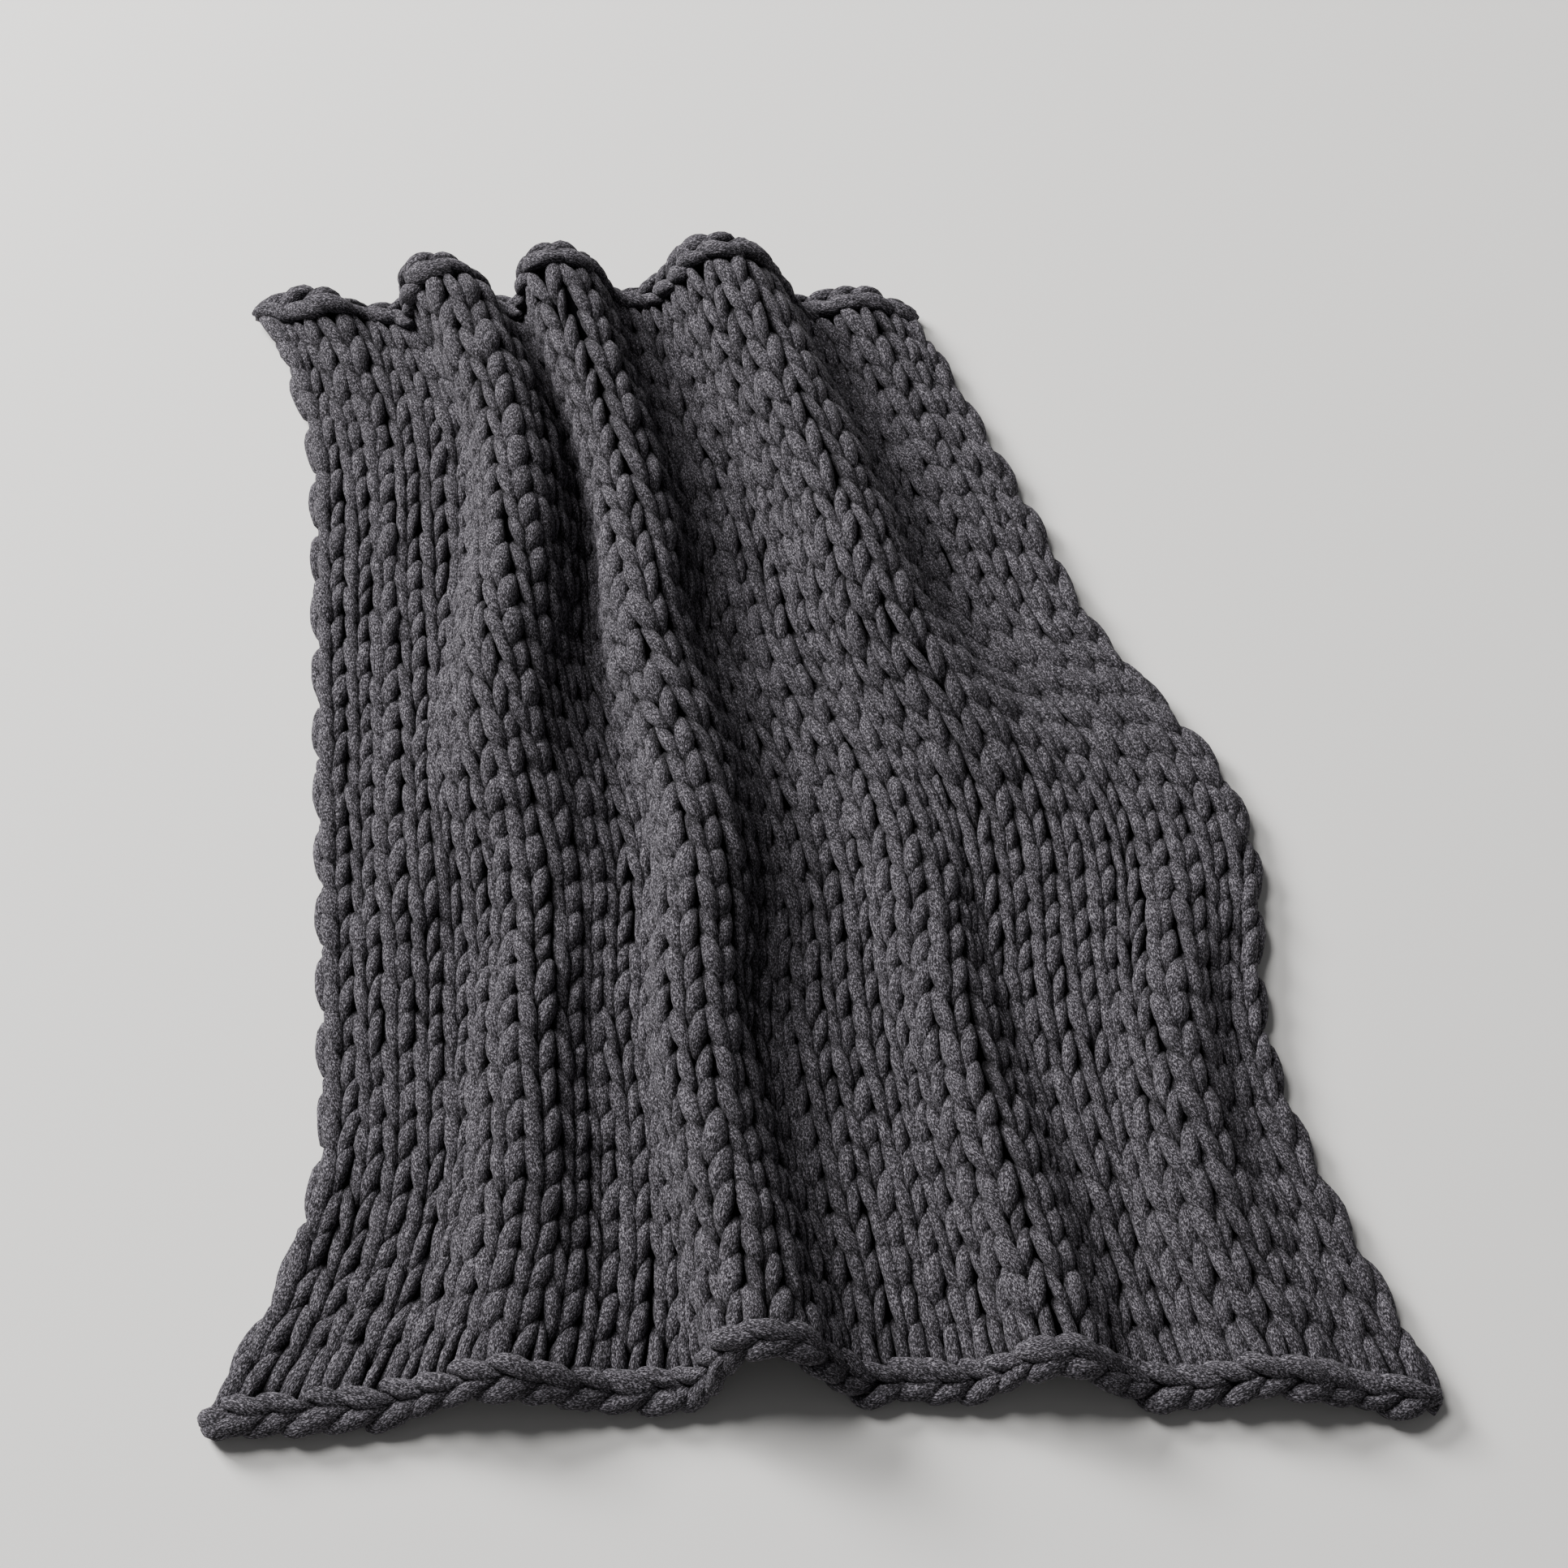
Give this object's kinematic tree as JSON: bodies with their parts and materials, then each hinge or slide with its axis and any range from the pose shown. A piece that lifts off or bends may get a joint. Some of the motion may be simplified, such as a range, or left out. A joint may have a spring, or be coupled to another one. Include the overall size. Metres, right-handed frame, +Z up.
{
  "type": "chunky knit blanket",
  "caption": "Thick hand-knit throw of fat chenille yarn in columns of V-shaped stitches, spread on the floor with long soft pleats and a chain-stitched edge at front and back.",
  "frame": {"origin": "on the floor, in the middle of the blanket's outline seen from above", "axes": "+Y along the columns of stitches from the front edge to the far edge, +X to the right, +Z up from the floor"},
  "size_m": [1.3902, 1.5616, 0.1535],
  "materials": {
    "yarn": "matte heathered chenille pile"
  },
  "bodies": {
    "root": {"blanket": "yarn"}
  },
  "joints": []
}
